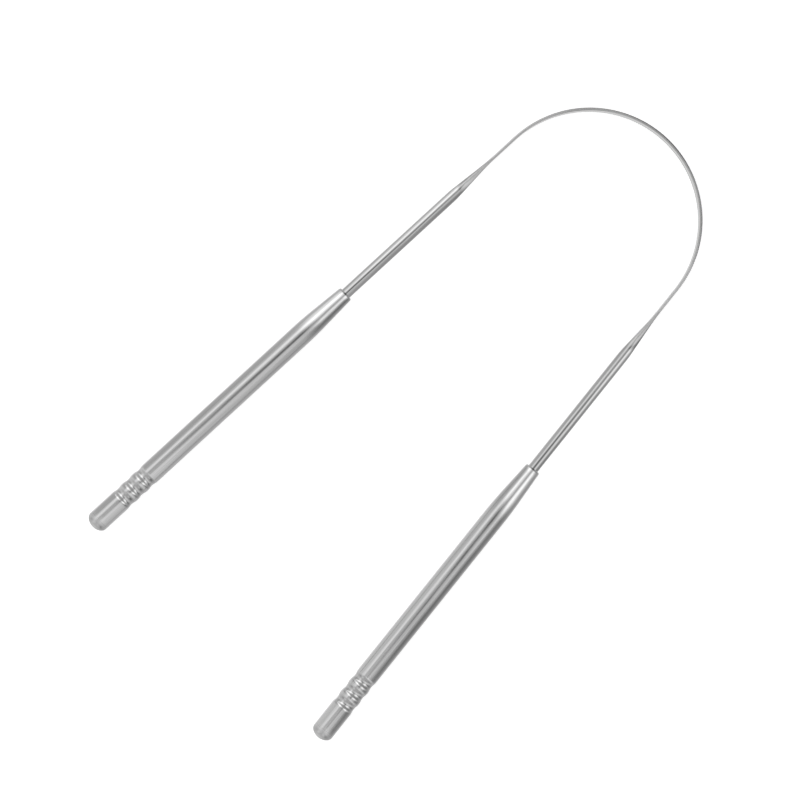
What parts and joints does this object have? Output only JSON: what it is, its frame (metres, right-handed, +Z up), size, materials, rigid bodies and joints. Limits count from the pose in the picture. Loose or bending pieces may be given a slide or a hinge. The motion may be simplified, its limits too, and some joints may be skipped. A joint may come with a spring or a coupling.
{
  "type": "tongue scraper",
  "caption": "U-shaped steel tongue scraper: a wire bow pressed flat at its arc as a springy scraping band, with a hollow grooved tube handle swaged onto each end.",
  "frame": {"origin": "on the surface that the part lies on, under the middle of the part's box", "axes": "+Y along the middle of the U towards the arc, +X across towards the right handle, +Z up, square to the plane of the U"},
  "size_m": [0.0734, 0.15, 0.005],
  "materials": {
    "bow_steel": "bright drawn stainless wire, polished on the pressed band",
    "handle_steel": "satin polished stainless tube"
  },
  "bodies": {
    "scraper_bow": {"scraper_bow": "bow_steel"},
    "left_handle": {"left_handle": "handle_steel"},
    "right_handle": {"right_handle": "handle_steel"}
  },
  "joints": [
    {"name": "left_flex", "type": "hinge", "parent": "scraper_bow", "child": "left_handle", "pos_m": [-0.01675, 0.06815, 0.0025], "axis": [0, 0, 1], "range_deg": [-10, 12.5], "stiffness_Nm_per_rad": 0.472, "deforming": ["scraper_bow"]},
    {"name": "right_flex", "type": "hinge", "parent": "scraper_bow", "child": "right_handle", "pos_m": [0.01675, 0.06815, 0.0025], "axis": [0, 0, 1], "range_deg": [-12.5, 10], "stiffness_Nm_per_rad": 0.472, "deforming": ["scraper_bow"]}
  ],
  "couplings": [
    {"joint": "right_flex", "follows": "left_flex", "ratio": -1}
  ]
}
